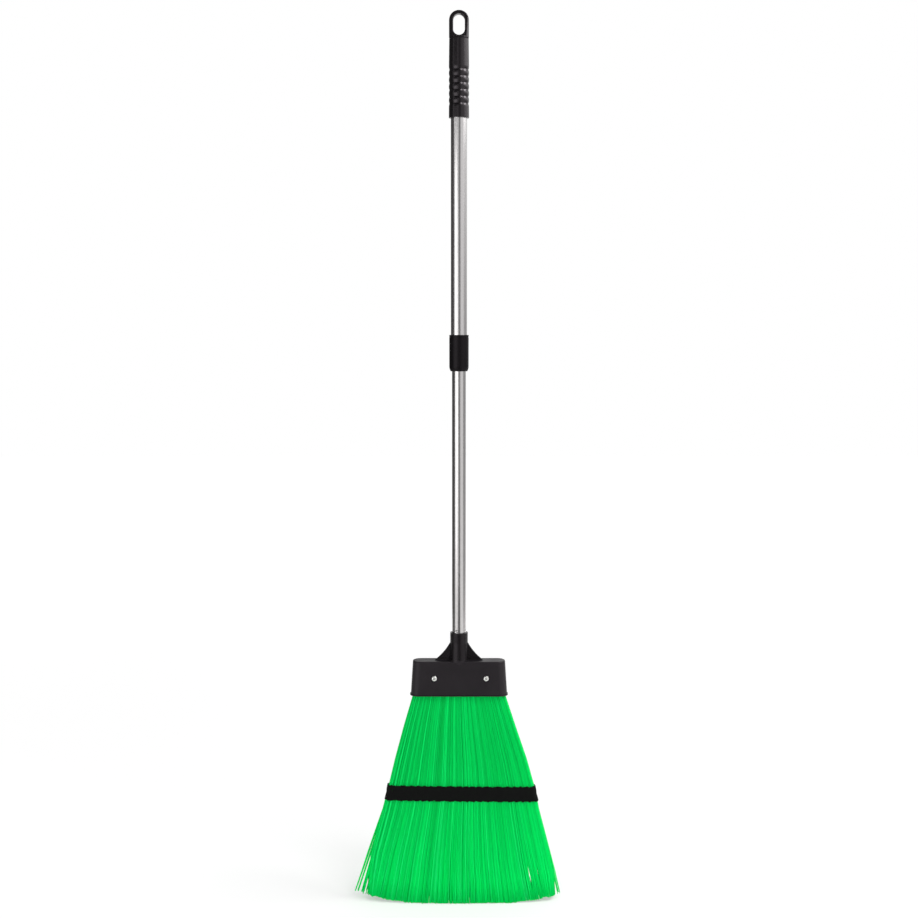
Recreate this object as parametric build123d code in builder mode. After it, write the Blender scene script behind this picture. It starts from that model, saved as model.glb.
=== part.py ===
"""An upright fan broom on a two-part telescopic pole, in millimetres, with +Z up.

The origin is on the floor under the pole's axis, and heights are counted from the bristle tips.
X runs along the wide side of the head. The screw heads are on the -Y side, which is the front.
"""

import math
import os

from build123d import *

os.makedirs("parts", exist_ok=True)

# Clearances, each per side
press_clearance = 0.05
slide_clearance = 0.15
swivel_clearance = 0.3
block_clearance = 0.2
rim_clearance = 0.5
thread_clearance = 0.1
hole_clearance = 0.3

# Bristles
bristle_drop = 292.4
fan_half_width = 147.0
tip_half_depth = 26.0
waist_half_depth = 12.6
strand_side = 1.6
strand_columns = 45
strand_rows = 9
rows_per_layer = 3
root_embed = 2.0
root_edge = 0.1
tip_trim = 2.0

# Webbing band
band_middle_z = 154.0
band_height = 20.5
band_thickness = 1.6
band_clearance = 0.3
band_corner = 6.0
band_lap = 40.0

# Cap
cap_height = 48.6
cap_rim_width = 134.5
cap_rim_depth = 29.0
cap_top_width = 128.4
cap_top_depth = 27.0
cap_corner = 11.5
cap_wall = 2.5
cap_roof = 3.0
cap_edge_radius = 2.0
lip_flare = 1.0
lip_height = 1.7
lip_round = 0.6
block_rise = 12.0

# Neck and its gussets
neck_height = 39.2
neck_wall = 2.7
neck_foot_diameter = 28.0
neck_foot_drop = 5.0
neck_foot_rise = 4.0
gusset_reach = 33.7
gusset_drop = 14.5
gusset_sag = 1.8
gusset_root = 8.0
gusset_crest = 5.0
gusset_tip = 3.0

# Head screws
screw_spacing = 72.0
screw_shift = 1.7
screw_rise = 25.3
screw_diameter = 4.0
screw_end_gap = 0.5
pilot_floor = 1.2
screw_head_diameter = 7.3
screw_head_height = 2.6
screw_head_edge = 0.9
screw_seat_margin = 0.6
screw_seat_depth = 0.4
recess_length = 4.2
recess_width = 1.1
recess_depth = 1.6
boss_diameter = 8.0
boss_length = 6.0

# Tubes
lower_tube_diameter = 19.0
upper_tube_diameter = 22.0
tube_wall = 0.5
lower_tube_show = 363.0
upper_tube_show = 291.9
punch_radius = 2.5
dimple_depth = 1.2
dimple_count = 4
dimple_turn = 69.0
dimple_rise = 2.4
dimple_drop = 10.0

# Threaded tip in the lower end of the pole
tube_socket_depth = 9.0
tip_flange = 1.5
tip_insert_length = 24.0
thread_diameter = 16.0
thread_length = 22.0
thread_relief = 1.0
thread_chamfer = 1.5

# Twist lock
plug_length = 24.0
plug_flange = 2.0
plug_core_diameter = 10.0
plug_core_depth = 18.0
stud_low_diameter = 13.0
stud_high_diameter = 10.0
expander_length = 30.0
expander_slit = 3.0
expander_chamfer = 0.8
expander_groove = 1.2
expander_groove_depth = 0.6
expander_groove_count = 3
stop_washer_diameter = 15.0
stop_washer_thickness = 1.2
stop_screw_diameter = 3.0
stop_screw_length = 14.0
stop_head_diameter = 6.4
stop_head_height = 2.2
stop_head_round = 1.1
stop_recess_length = 3.2
stop_recess_depth = 1.2

# Collar and guide bush
collar_length = 49.5
collar_wall = 2.25
collar_nose = 8.0
nose_inset = 1.8
nose_height = 7.0
nose_bulge = 0.45
collar_groove_drop = 3.0
collar_groove_width = 0.9
collar_groove_depth = 0.45
collar_edge = 0.6
bush_length = 50.0
bush_flange = 1.5

# Grip
grip_length = 105.2
grip_wall = 2.1
grip_swell = 0.45
grip_foot_swell = 0.55
grip_edge = 0.6
grip_roof = 6.0
groove_count = 6
groove_pitch = 9.0
groove_drop = 41.1
groove_depth = 0.85
groove_round = 1.0

# Hang loop
loop_height = 36.7
loop_root_depth = 18.0
loop_top_depth = 11.0
loop_disc = 2.0
loop_disc_edge = 0.4
loop_step = 0.25
loop_base = 3.5
loop_top_wall = 4.8
loop_edge = 1.2
slot_width = 15.6
slot_edge = 1.0
stem_diameter = 12.0
stem_split = 2.5
barb_height = 6.0
barb_overhang = 1.2
barb_lead = 1.8
barb_room = 9.0
barb_slack = 0.6

# Heights
rim_z = bristle_drop
cap_top_z = rim_z + cap_height
roof_z = cap_top_z - cap_roof
neck_top_z = cap_top_z + neck_height
tube_seat_z = neck_top_z - tube_socket_depth
lower_tube_z = tube_seat_z + tip_flange
collar_z = neck_top_z + lower_tube_show
collar_shoulder_z = collar_z + collar_nose
upper_tube_z = collar_shoulder_z + bush_flange
bush_top_z = collar_shoulder_z + bush_length
collar_top_z = collar_z + collar_length
grip_z = collar_top_z + upper_tube_show
grip_top_z = grip_z + grip_length
barb_roof_z = grip_top_z - grip_roof
upper_tube_top_z = barb_roof_z - barb_room
expander_z = bush_top_z + swivel_clearance
stud_z = expander_z - swivel_clearance
lower_tube_top_z = stud_z - plug_flange
stud_top_z = expander_z + expander_length + swivel_clearance
loop_z = grip_top_z + swivel_clearance
loop_top_z = loop_z + loop_height
screw_z = rim_z + screw_rise
root_z = rim_z + block_rise
foot_dimple_z = neck_top_z + dimple_rise
head_dimple_z = lower_tube_top_z - dimple_drop

# Radii that mating pieces share
lower_tube_radius = lower_tube_diameter / 2
lower_tube_bore = lower_tube_radius - tube_wall
upper_tube_radius = upper_tube_diameter / 2
upper_tube_bore = upper_tube_radius - tube_wall
guide_bore = lower_tube_radius + slide_clearance
plug_radius = lower_tube_bore - press_clearance
upper_sleeve_bore = upper_tube_radius + press_clearance
collar_radius = upper_sleeve_bore + collar_wall
grip_radius = upper_sleeve_bore + grip_wall
stem_radius = stem_diameter / 2
barb_radius = stem_radius + barb_overhang


# Shared shapes


def cap_plan(height, inset):
    """The cap's drafted outline at a height, drawn in by inset on every side."""
    share = (height - rim_z) / cap_height
    width = cap_rim_width + (cap_top_width - cap_rim_width) * share
    depth = cap_rim_depth + (cap_top_depth - cap_rim_depth) * share
    with BuildSketch(Plane.XY.offset(height)) as plan:
        RectangleRounded(width - 2 * inset, depth - 2 * inset, cap_corner - inset)
    return plan.sketch


def cap_half_depth(height):
    """From the middle plane to the cap's outer front or back wall at a height."""
    share = (height - rim_z) / cap_height
    return (cap_rim_depth + (cap_top_depth - cap_rim_depth) * share) / 2


def dimple_spheres(height, radius):
    """Balls of a radius, round the lower tube, where the punch has struck its wall."""
    reach = lower_tube_radius + punch_radius - dimple_depth
    with BuildPart() as balls:
        with Locations((0, 0, height)):
            with PolarLocations(reach, dimple_count, start_angle=dimple_turn):
                Sphere(radius)
    return balls.part


def turned(points):
    """A solid of revolution about the pole's axis from (radius, height) corners."""
    with BuildPart() as solid:
        with BuildSketch(Plane.XZ):
            with BuildLine():
                Polyline(*points, close=True)
            make_face()
        revolve(axis=Axis.Z)
    return solid.part


# Head cap: a drafted shell with a rim lip, a socket neck on gussets, and screw bosses at the back
with BuildPart() as rim_lip:
    with BuildSketch(Plane.XY.offset(rim_z)):
        RectangleRounded(
            cap_rim_width + 2 * lip_flare, cap_rim_depth + 2 * lip_flare, cap_corner + lip_flare
        )
    extrude(amount=lip_height)
    fillet(rim_lip.edges().filter_by(Axis.Z, reverse=True), lip_round)

screw_seat_y = cap_half_depth(screw_z) - screw_seat_depth
back_wall_y = cap_half_depth(screw_z) - cap_wall
boss_face_y = back_wall_y - boss_length
pilot_end_y = cap_half_depth(screw_z) - pilot_floor
neck_radius = guide_bore + neck_wall
gusset_top_z = neck_top_z - gusset_drop
screw_plane = Plane((screw_shift, 0, screw_z), x_dir=(1, 0, 0), z_dir=(0, 1, 0))

neck_foot_z = cap_top_z - neck_foot_drop
neck = turned(
    [
        (0, neck_foot_z),
        (cap_half_depth(neck_foot_z), neck_foot_z),
        (neck_foot_diameter / 2, neck_foot_z + neck_foot_rise),
        (neck_radius, gusset_top_z),
        (neck_radius, neck_top_z),
        (0, neck_top_z),
    ]
)

with BuildPart() as gusset:
    with BuildSketch(Plane.XZ):
        with BuildLine():
            edge = SagittaArc((gusset_reach, cap_top_z), (neck_radius, gusset_top_z), gusset_sag)
            Polyline(edge @ 1, (0, gusset_top_z), (0, roof_z), (gusset_reach, roof_z), edge @ 0)
        make_face()
    extrude(amount=gusset_root / 2, both=True)
    for side in (-1, 1):
        root = Vector(0, side * gusset_root / 2, cap_top_z)
        tip = Vector(gusset_reach, side * gusset_tip / 2, cap_top_z)
        crest = Vector(neck_radius, side * gusset_crest / 2, gusset_top_z)
        split(bisect_by=Plane(root, z_dir=(crest - root).cross(tip - root) * side), keep=Keep.BOTTOM)

with BuildPart() as head_cap:
    loft([cap_plan(rim_z, 0), cap_plan(cap_top_z, 0)], ruled=True)
    fillet(head_cap.faces().sort_by(Axis.Z)[-1].edges(), cap_edge_radius)
    add(rim_lip.part)
    add(neck)
    add(gusset.part)
    mirror(gusset.part, about=Plane.YZ)
    loft([cap_plan(rim_z, cap_wall), cap_plan(roof_z, cap_wall)], ruled=True, mode=Mode.SUBTRACT)
    with Locations((0, 0, neck_top_z)):
        CounterBoreHole(
            thread_diameter / 2 + thread_clearance,
            guide_bore,
            tube_socket_depth,
            tube_socket_depth + thread_length + thread_relief,
        )
    with BuildSketch(screw_plane.offset(boss_face_y)):
        with GridLocations(screw_spacing, 0, 2, 1):
            Circle(boss_diameter / 2)
    extrude(amount=boss_length + cap_wall / 2)
    with BuildSketch(screw_plane.offset(-screw_seat_y)):
        with GridLocations(screw_spacing, 0, 2, 1):
            Circle(screw_head_diameter / 2 + screw_seat_margin)
    extrude(amount=-screw_seat_depth - cap_wall, mode=Mode.SUBTRACT)
    with BuildSketch(screw_plane.offset(-screw_seat_y)):
        with GridLocations(screw_spacing, 0, 2, 1):
            Circle(screw_diameter / 2 + hole_clearance)
    extrude(amount=cap_wall, mode=Mode.SUBTRACT)
    with BuildSketch(screw_plane.offset(boss_face_y)):
        with GridLocations(screw_spacing, 0, 2, 1):
            Circle(screw_diameter / 2 + press_clearance)
    extrude(amount=pilot_end_y - boss_face_y, mode=Mode.SUBTRACT)

head_cap.part.label = "head_cap"
export_step(head_cap.part, "parts/head_cap.step")


# Head screws: two pan-head screws with a cross recess, driven through the front wall into the bosses
with BuildPart() as head_screw:
    with BuildSketch(Plane.XY):
        Circle(screw_head_diameter / 2)
    extrude(amount=screw_head_height)
    fillet(head_screw.faces().sort_by(Axis.Z)[-1].edges(), screw_head_height - screw_head_edge)
    with BuildSketch(Plane.XY.offset(screw_head_height)):
        Rectangle(recess_length, recess_width)
        Rectangle(recess_width, recess_length)
    extrude(amount=-recess_depth, mode=Mode.SUBTRACT)
    with BuildSketch(Plane.XY):
        Circle(screw_diameter / 2)
    extrude(amount=-(screw_seat_y + pilot_end_y - screw_end_gap))

with BuildPart() as head_screws:
    with Locations(Plane((screw_shift, -screw_seat_y, screw_z), x_dir=(1, 0, 0), z_dir=(0, -1, 0))):
        with GridLocations(screw_spacing, 0, 2, 1):
            add(head_screw.part)

head_screws.part.label = "head_screws"
export_step(head_screws.part, "parts/head_screws.step")


# Bristles: a fan of square strands in three layers, each fused to its slice of the root block
block_half_width = cap_top_width / 2 - cap_wall - block_clearance
block_half_depth = cap_top_depth / 2 - cap_wall - block_clearance
block_corner = cap_corner - cap_wall - block_clearance
strand_margin = strand_side / math.sqrt(2)
rim_half_width = cap_rim_width / 2 - cap_wall - rim_clearance - strand_side / 2
root_half_depth = block_half_depth - strand_margin - root_edge
fan_slope = (fan_half_width - rim_half_width) / bristle_drop
row_step = 2 * root_half_depth / (strand_rows - 1)


def half_width_at(height):
    """Half the fan's width at a height, to the middle of its outermost strands."""
    return rim_half_width + fan_slope * (rim_z - height)


def half_depth_at(height):
    """Half the fan's depth at a height: drawn in by the band, splayed below it."""
    if height > band_middle_z:
        share = (height - band_middle_z) / (root_z - band_middle_z)
        return waist_half_depth + (root_half_depth - waist_half_depth) * share
    return tip_half_depth + (waist_half_depth - tip_half_depth) * height / band_middle_z


def has_root(across, deep):
    """Whether a strand at these shares of the half width and depth roots inside the block."""
    corner_x = abs(across) * half_width_at(root_z) - (block_half_width - block_corner)
    corner_y = abs(deep) * root_half_depth - (block_half_depth - block_corner)
    return math.hypot(max(corner_x, 0), max(corner_y, 0)) <= block_corner - strand_margin


def strand(across, deep):
    """One bristle, bent at the band. All are equally long, so the outer ones end a little higher."""
    rise = bristle_drop * (1 - math.cos(math.atan(fan_slope * across)))
    tip_z = max(rise - tip_trim, 0)
    bends = [
        Vector(across * half_width_at(height), deep * half_depth_at(height), height)
        for height in (root_z + root_embed, band_middle_z, tip_z)
    ]
    with BuildPart() as bristle:
        for start, end in zip(bends, bends[1:]):
            with BuildSketch(Plane.XY.offset(start.Z)):
                with Locations((start.X, start.Y)):
                    Rectangle(strand_side, strand_side)
            extrude(amount=(end - start).length, dir=end - start)
    return bristle.part


def row_strands(row):
    """The strands of one row. Every second row is shifted by half a step."""
    deep = 2 * row / (strand_rows - 1) - 1
    shift = row % 2
    step = 2 / (strand_columns - 1)
    places = [(column + shift / 2) * step - 1 for column in range(strand_columns - shift)]
    return [strand(across, deep) for across in places if has_root(across, deep)]


slice_edge = rows_per_layer * row_step / 2
layer_depths = {
    "bristles_front": (-block_half_depth, -slice_edge),
    "bristles_middle": (-slice_edge, slice_edge),
    "bristles_back": (slice_edge, block_half_depth),
}

for layer, (layer_name, (front_y, back_y)) in enumerate(layer_depths.items()):
    rows = range(layer * rows_per_layer, (layer + 1) * rows_per_layer)
    layer_strands = [bristle for row in rows for bristle in row_strands(row)]
    with BuildPart() as bristles:
        with BuildSketch(Plane.XY.offset(root_z)):
            RectangleRounded(2 * block_half_width, 2 * block_half_depth, block_corner)
            with Locations((0, (front_y + back_y) / 2)):
                Rectangle(2 * block_half_width, back_y - front_y, mode=Mode.INTERSECT)
        extrude(amount=roof_z - block_clearance - root_z)
        with BuildSketch(screw_plane.offset(front_y)):
            with GridLocations(screw_spacing, 0, 2, 1):
                Circle(screw_diameter / 2 + hole_clearance)
        extrude(amount=back_y - front_y, mode=Mode.SUBTRACT)
        if back_y > boss_face_y:
            with BuildSketch(screw_plane.offset(boss_face_y - hole_clearance)):
                with GridLocations(screw_spacing, 0, 2, 1):
                    Circle(boss_diameter / 2 + hole_clearance)
            extrude(amount=back_wall_y - boss_face_y, mode=Mode.SUBTRACT)
        add(layer_strands)
    bristles.part.label = layer_name
    export_step(bristles.part, f"parts/{layer_name}.step")


# Webbing band: one loop round the fan, which lies on the outer strands, with its ends lapped at the back


def band_plan(height, offset):
    """The loop's outline at a height, offset outwards from the outermost strands."""
    width = 2 * (half_width_at(height) + strand_side / 2 + offset)
    depth = 2 * (half_depth_at(height) + strand_side / 2 + offset)
    with BuildSketch(Plane.XY.offset(height)) as plan:
        RectangleRounded(width, depth, band_corner + offset)
    return plan.sketch


band_heights = [band_middle_z + share * band_height / 2 for share in (-1, 0, 1)]
band_outside = band_clearance + band_thickness

with BuildPart() as band_lap_piece:
    loft([band_plan(height, band_outside + band_thickness) for height in band_heights], ruled=True)
    with Locations((0, 0, band_middle_z)):
        Box(
            band_lap,
            cap_rim_depth,
            band_height,
            align=(Align.CENTER, Align.MIN, Align.CENTER),
            mode=Mode.INTERSECT,
        )

with BuildPart() as bristle_band:
    loft([band_plan(height, band_outside) for height in band_heights], ruled=True)
    add(band_lap_piece.part)
    loft([band_plan(height, band_clearance) for height in band_heights], ruled=True, mode=Mode.SUBTRACT)

bristle_band.part.label = "bristle_band"
export_step(bristle_band.part, "parts/bristle_band.step")


# Lower tube: thin-wall steel, punched in at both ends to hold its plugs
with BuildPart() as struck_wall:
    add(dimple_spheres(foot_dimple_z, punch_radius + tube_wall))
    add(dimple_spheres(head_dimple_z, punch_radius + tube_wall))
    with Locations((0, 0, lower_tube_z)):
        Cylinder(
            lower_tube_radius,
            lower_tube_top_z - lower_tube_z,
            align=(Align.CENTER, Align.CENTER, Align.MIN),
            mode=Mode.INTERSECT,
        )

with BuildPart() as lower_tube:
    with BuildSketch(Plane.XY.offset(lower_tube_z)):
        Circle(lower_tube_radius)
        Circle(lower_tube_bore, mode=Mode.SUBTRACT)
    extrude(amount=lower_tube_top_z - lower_tube_z)
    add(struck_wall.part)
    add(dimple_spheres(foot_dimple_z, punch_radius), mode=Mode.SUBTRACT)
    add(dimple_spheres(head_dimple_z, punch_radius), mode=Mode.SUBTRACT)

lower_tube.part.label = "lower_tube"
export_step(lower_tube.part, "parts/lower_tube.step")


# Threaded tip: a moulded plug staked in the foot of the lower tube and screwed into the neck
with BuildPart() as threaded_tip:
    add(
        turned(
            [
                (0, tube_seat_z - thread_length),
                (thread_diameter / 2 - thread_chamfer, tube_seat_z - thread_length),
                (thread_diameter / 2, tube_seat_z - thread_length + thread_chamfer),
                (thread_diameter / 2, tube_seat_z),
                (lower_tube_radius, tube_seat_z),
                (lower_tube_radius, lower_tube_z),
                (plug_radius, lower_tube_z),
                (plug_radius, lower_tube_z + tip_insert_length),
                (0, lower_tube_z + tip_insert_length),
            ]
        )
    )
    add(dimple_spheres(foot_dimple_z, punch_radius + tube_wall + press_clearance), mode=Mode.SUBTRACT)

threaded_tip.part.label = "threaded_tip"
export_step(threaded_tip.part, "parts/threaded_tip.step")


# Lock plug: staked in the head of the lower tube, with the tapered stud that the expander turns on
stud_low_radius = stud_low_diameter / 2
stud_high_radius = stud_high_diameter / 2
stop_hole_depth = stop_screw_length - stop_washer_thickness + screw_end_gap

with BuildPart() as lock_plug:
    add(
        turned(
            [
                (0, lower_tube_top_z - plug_length),
                (plug_radius, lower_tube_top_z - plug_length),
                (plug_radius, lower_tube_top_z),
                (lower_tube_radius, lower_tube_top_z),
                (lower_tube_radius, stud_z),
                (stud_low_radius, stud_z),
                (stud_high_radius, stud_top_z),
                (0, stud_top_z),
            ]
        )
    )
    with Locations(Plane((0, 0, lower_tube_top_z - plug_length), z_dir=(0, 0, -1))):
        Hole(plug_core_diameter / 2, plug_core_depth)
    with Locations((0, 0, stud_top_z)):
        Hole(stop_screw_diameter / 2 + press_clearance, stop_hole_depth)
    add(dimple_spheres(head_dimple_z, punch_radius + tube_wall + press_clearance), mode=Mode.SUBTRACT)

lock_plug.part.label = "lock_plug"
export_step(lock_plug.part, "parts/lock_plug.step")


# Lock expander: a split sleeve on the stud, which spreads against the upper tube when it is twisted
expander_radius = upper_tube_bore - press_clearance
expander_top_z = expander_z + expander_length
stud_taper = (stud_low_radius - stud_high_radius) / (stud_top_z - stud_z)
expander_groove_step = expander_length / (expander_groove_count + 1)


def expander_bore(height):
    """The sleeve's bore at a height, clear of the tapered stud."""
    return stud_low_radius - stud_taper * (height - stud_z) + swivel_clearance


with BuildPart() as lock_expander:
    add(
        turned(
            [
                (expander_bore(expander_z), expander_z),
                (expander_radius - expander_chamfer, expander_z),
                (expander_radius, expander_z + expander_chamfer),
                (expander_radius, expander_top_z - expander_chamfer),
                (expander_radius - expander_chamfer, expander_top_z),
                (expander_bore(expander_top_z), expander_top_z),
            ]
        )
    )
    for groove in range(expander_groove_count):
        with BuildSketch(Plane.XY.offset(expander_z + (groove + 1) * expander_groove_step)):
            Circle(expander_radius)
            Circle(expander_radius - expander_groove_depth, mode=Mode.SUBTRACT)
        extrude(amount=expander_groove / 2, both=True, mode=Mode.SUBTRACT)
    with Locations((0, 0, expander_z)):
        Box(
            expander_radius,
            expander_slit,
            expander_length,
            align=(Align.MIN, Align.CENTER, Align.MIN),
            mode=Mode.SUBTRACT,
        )

lock_expander.part.label = "lock_expander"
export_step(lock_expander.part, "parts/lock_expander.step")


# Stop washer and stop screw: keep the expander on its stud
with BuildPart() as lock_stop_washer:
    with BuildSketch(Plane.XY.offset(stud_top_z)):
        Circle(stop_washer_diameter / 2)
        Circle(stop_screw_diameter / 2 + hole_clearance, mode=Mode.SUBTRACT)
    extrude(amount=stop_washer_thickness)

lock_stop_washer.part.label = "lock_stop_washer"
export_step(lock_stop_washer.part, "parts/lock_stop_washer.step")

stop_seat_z = stud_top_z + stop_washer_thickness

with BuildPart() as lock_stop_screw:
    with BuildSketch(Plane.XY.offset(stop_seat_z)):
        Circle(stop_head_diameter / 2)
    extrude(amount=stop_head_height)
    fillet(lock_stop_screw.faces().sort_by(Axis.Z)[-1].edges(), stop_head_round)
    with BuildSketch(Plane.XY.offset(stop_seat_z + stop_head_height)):
        Rectangle(stop_recess_length, recess_width)
        Rectangle(recess_width, stop_recess_length)
    extrude(amount=-stop_recess_depth, mode=Mode.SUBTRACT)
    with BuildSketch(Plane.XY.offset(stop_seat_z)):
        Circle(stop_screw_diameter / 2)
    extrude(amount=-stop_screw_length)

lock_stop_screw.part.label = "lock_stop_screw"
export_step(lock_stop_screw.part, "parts/lock_stop_screw.step")


# Guide bush: a liner in the foot of the upper tube, with a flange between the tube and the collar
with BuildPart() as guide_bush:
    add(
        turned(
            [
                (guide_bore, collar_shoulder_z),
                (upper_tube_radius, collar_shoulder_z),
                (upper_tube_radius, upper_tube_z),
                (upper_tube_bore - press_clearance, upper_tube_z),
                (upper_tube_bore - press_clearance, bush_top_z),
                (guide_bore, bush_top_z),
            ]
        )
    )

guide_bush.part.label = "guide_bush"
export_step(guide_bush.part, "parts/guide_bush.step")


# Collar: pressed on the foot of the upper tube, with a tapered nose round the lower tube
with BuildPart() as pole_collar:
    with BuildSketch(Plane.XZ):
        with BuildLine():
            nose = SagittaArc(
                (collar_radius - nose_inset, collar_z), (collar_radius, collar_z + nose_height), -nose_bulge
            )
            Polyline(
                nose @ 1,
                (collar_radius, collar_top_z),
                (upper_sleeve_bore, collar_top_z),
                (upper_sleeve_bore, collar_shoulder_z),
                (guide_bore, collar_shoulder_z),
                (guide_bore, collar_z),
                nose @ 0,
            )
        make_face()
        with Locations((collar_radius, collar_top_z - collar_groove_drop)):
            Rectangle(2 * collar_groove_depth, collar_groove_width, mode=Mode.SUBTRACT)
    revolve(axis=Axis.Z)
    top_rim = pole_collar.edges().filter_by(GeomType.CIRCLE).group_by(Axis.Z)[-1].sort_by(SortBy.RADIUS)[-1]
    fillet(top_rim, collar_edge)

pole_collar.part.label = "pole_collar"
export_step(pole_collar.part, "parts/pole_collar.step")


# Upper tube: thin-wall steel between the bush's flange and the shoulder inside the grip
with BuildPart() as upper_tube:
    with BuildSketch(Plane.XY.offset(upper_tube_z)):
        Circle(upper_tube_radius)
        Circle(upper_tube_bore, mode=Mode.SUBTRACT)
    extrude(amount=upper_tube_top_z - upper_tube_z)

upper_tube.part.label = "upper_tube"
export_step(upper_tube.part, "parts/upper_tube.step")


# Grip: pressed on the head of the upper tube, with rounded ribs and a roof that holds the hang loop
swell_radius = grip_radius + grip_swell
foot_radius = grip_radius + grip_foot_swell
barb_room_radius = barb_radius + barb_slack
groove_top_z = grip_top_z - groove_drop
groove_floor = swell_radius - groove_depth
groove_floors = [(groove_floor, groove_top_z - groove * groove_pitch) for groove in range(groove_count)]
rib_top = (swell_radius, groove_floors[0][1] + groove_pitch / 2)
rib_foot = (swell_radius, groove_floors[-1][1] - groove_pitch / 2)

with BuildPart() as grip:
    with BuildSketch(Plane.XZ) as grip_profile:
        with BuildLine():
            TangentArc(rib_top, groove_floors[0], tangent=(0, -1))
            for upper_floor, lower_floor in zip(groove_floors, groove_floors[1:]):
                SagittaArc(upper_floor, lower_floor, groove_depth)
            TangentArc(rib_foot, groove_floors[-1], tangent=(0, 1))
            Polyline(
                rib_foot,
                (foot_radius, grip_z),
                (upper_sleeve_bore, grip_z),
                (upper_sleeve_bore, upper_tube_top_z),
                (barb_room_radius, upper_tube_top_z),
                (barb_room_radius, barb_roof_z),
                (stem_radius + slide_clearance, barb_roof_z),
                (stem_radius + slide_clearance, grip_top_z),
                (grip_radius, grip_top_z),
                rib_top,
            )
        make_face()
        fillet(grip_profile.vertices().filter_by_position(Axis.X, groove_floor, groove_floor), groove_round)
    revolve(axis=Axis.Z)
    outer_rims = grip.edges().filter_by(GeomType.CIRCLE).filter_by_position(Axis.Z, grip_top_z, grip_top_z)
    fillet(outer_rims.sort_by(SortBy.RADIUS)[-1], grip_edge)
    foot_rims = grip.edges().filter_by(GeomType.CIRCLE).filter_by_position(Axis.Z, grip_z, grip_z)
    fillet(foot_rims.sort_by(SortBy.RADIUS)[-1], grip_edge)

grip.part.label = "grip"
export_step(grip.part, "parts/grip.step")


# Hang loop: a slotted tab that tapers to its arched top, on a disc whose split stem snaps into the grip
slot_z = loop_z + loop_base
slot_height = loop_height - loop_base - loop_top_wall
loop_radius = grip_radius + loop_step
arch_z = loop_top_z - loop_radius
tab_z = loop_z + loop_disc / 2
stem_z = barb_roof_z - swivel_clearance - barb_height

with BuildPart() as loop_stem:
    add(
        turned(
            [
                (0, stem_z),
                (barb_radius - barb_lead, stem_z),
                (barb_radius, barb_roof_z - swivel_clearance),
                (stem_radius, barb_roof_z - swivel_clearance),
                (stem_radius, loop_z),
                (grip_radius - loop_disc_edge, loop_z),
                (grip_radius, loop_z + loop_disc_edge),
                (grip_radius, loop_z + loop_disc),
                (0, loop_z + loop_disc),
            ]
        )
    )
    with Locations((0, 0, stem_z)):
        Box(
            stem_split,
            2 * barb_radius,
            grip_roof + barb_height,
            align=(Align.CENTER, Align.CENTER, Align.MIN),
            mode=Mode.SUBTRACT,
        )

with BuildPart() as hang_loop:
    with BuildSketch(Plane.XY.offset(tab_z)):
        Circle(loop_radius)
    extrude(amount=loop_top_z - tab_z)
    with BuildSketch(Plane.XZ):
        with Locations((0, arch_z)):
            Circle(loop_radius)
        with Locations((0, tab_z)):
            Rectangle(2 * loop_radius, arch_z - tab_z, align=(Align.CENTER, Align.MIN))
    extrude(amount=loop_radius, both=True, mode=Mode.INTERSECT)
    with BuildSketch(Plane.YZ):
        with BuildLine():
            side = Polyline(
                (0, tab_z), (loop_root_depth / 2, tab_z), (loop_top_depth / 2, loop_top_z), (0, loop_top_z)
            )
            mirror(side, about=Plane.YZ)
        make_face()
    extrude(amount=loop_radius, both=True, mode=Mode.INTERSECT)
    fillet(hang_loop.edges().filter_by_position(Axis.Z, tab_z, loop_top_z, (False, True)), loop_edge)
    with BuildSketch(Plane.XZ):
        with Locations((0, slot_z + slot_height / 2)):
            SlotOverall(slot_height, slot_width, rotation=90)
    extrude(amount=loop_radius, both=True, mode=Mode.SUBTRACT)
    fillet(hang_loop.edges(Select.LAST).filter_by(Axis.Y, reverse=True), slot_edge)
    add(loop_stem.part)

hang_loop.part.label = "hang_loop"
export_step(hang_loop.part, "parts/hang_loop.step")
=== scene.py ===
import math

import bpy
import numpy as np
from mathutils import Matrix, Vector


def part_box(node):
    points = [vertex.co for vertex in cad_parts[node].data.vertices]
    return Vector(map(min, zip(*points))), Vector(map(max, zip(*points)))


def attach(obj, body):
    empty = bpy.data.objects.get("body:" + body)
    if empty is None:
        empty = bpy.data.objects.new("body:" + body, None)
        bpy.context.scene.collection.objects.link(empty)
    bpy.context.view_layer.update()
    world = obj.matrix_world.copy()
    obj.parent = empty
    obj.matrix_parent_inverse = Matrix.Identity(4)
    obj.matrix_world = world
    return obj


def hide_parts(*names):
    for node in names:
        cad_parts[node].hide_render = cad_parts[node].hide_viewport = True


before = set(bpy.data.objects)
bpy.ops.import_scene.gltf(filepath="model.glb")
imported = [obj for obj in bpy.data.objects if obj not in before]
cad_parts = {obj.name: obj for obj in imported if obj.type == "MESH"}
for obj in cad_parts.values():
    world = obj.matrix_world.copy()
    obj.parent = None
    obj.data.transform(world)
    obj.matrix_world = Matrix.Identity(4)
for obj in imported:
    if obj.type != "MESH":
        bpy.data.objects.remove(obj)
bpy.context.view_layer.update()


# Studio: the broom stands upright on a pale floor in a white room, seen by a long lens from a little above.
# Soft boxes light it from the left, from above, and from high and low on the right. Round it stand cards that
# only reflections show, as they do round bright steel: dark ones on most sides and bright ones on the right.
studio = bpy.context.scene
studio.view_settings.view_transform = "Standard"
lens_place = Vector((0, -2.1, 0.813))
lens_drop = math.radians(5.19)

bpy.ops.object.select_all(action="DESELECT")
bpy.ops.object.camera_add(location=lens_place, rotation=(math.pi / 2 - lens_drop, 0, 0))
studio.camera = bpy.context.object
studio.camera.data.lens = 60
studio.camera.data.sensor_width = 36


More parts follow.
